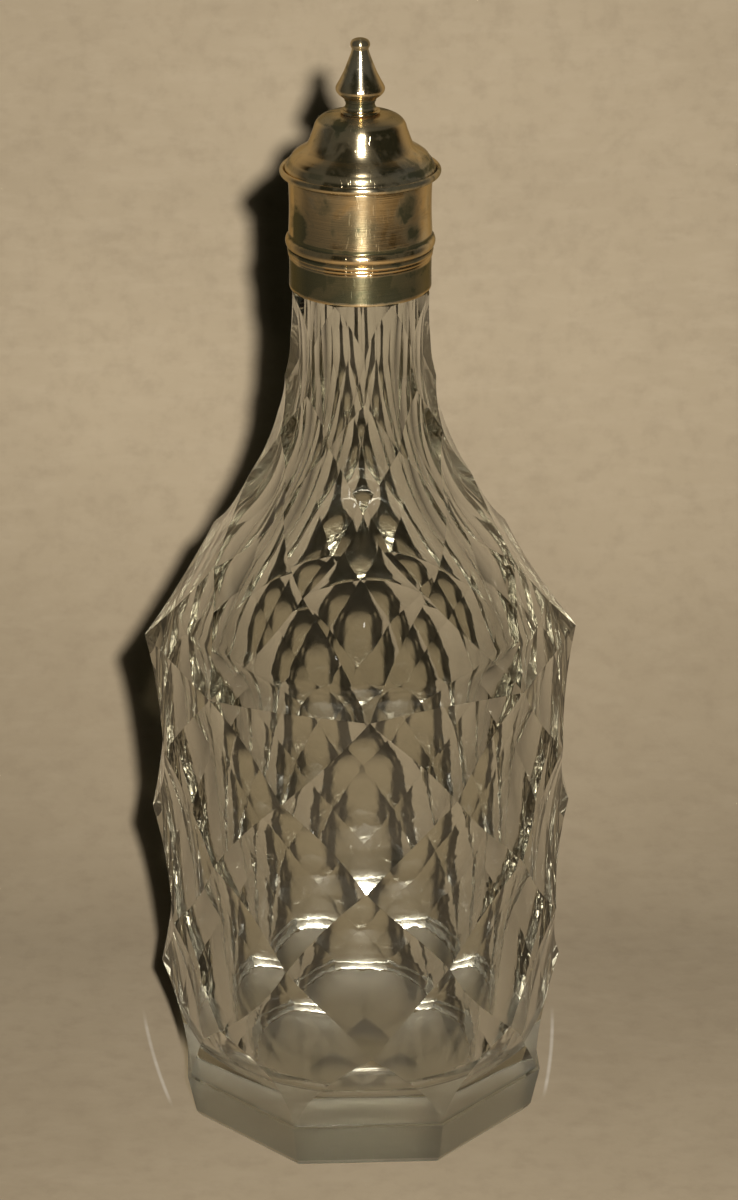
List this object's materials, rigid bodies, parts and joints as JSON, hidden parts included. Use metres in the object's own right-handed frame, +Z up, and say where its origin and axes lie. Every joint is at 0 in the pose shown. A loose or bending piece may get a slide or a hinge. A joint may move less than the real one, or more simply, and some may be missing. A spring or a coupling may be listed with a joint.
{
  "type": "cut crystal decanter with mounted cover",
  "caption": "Heavy hollow-diamond cut glass decanter on a plain polygonal foot, with a turned metal neck mount and a lift-off domed cover with a finial and cork.",
  "frame": {"origin": "centre of the underside of the foot", "axes": "+Z up along the axis of the bottle, a flat of the foot towards -Y"},
  "size_m": [0.105, 0.105, 0.2724],
  "materials": {
    "glass": "polished lead crystal",
    "plaster": "matt plaster",
    "mount_metal": "polished, worn gilding",
    "cover_metal": "polished, worn gilding",
    "inner_metal": "satin",
    "cork": "natural cork",
    "washer_leather": "worn"
  },
  "bodies": {
    "bottle": {"glass_bottle": "glass", "neck_bedding": "plaster", "collar_apron": "mount_metal", "collar_reeds": "mount_metal", "collar_bead": "mount_metal", "collar_band": "mount_metal", "mouth_ring": "inner_metal"},
    "cover": {"cover_dome": "cover_metal", "cover_rim": "cover_metal", "cover_bezel": "inner_metal", "top_plate": "inner_metal", "sealing_washer": "washer_leather", "cork_plug": "cork", "end_plate": "inner_metal", "tie_rod": "inner_metal", "lock_nut": "inner_metal", "finial_seat": "cover_metal", "finial": "cover_metal"}
  },
  "joints": [
    {"name": "cover_lift", "type": "slide", "parent": "bottle", "child": "cover", "axis": [0, 0, 1], "range_m": [0, 0.06]}
  ]
}
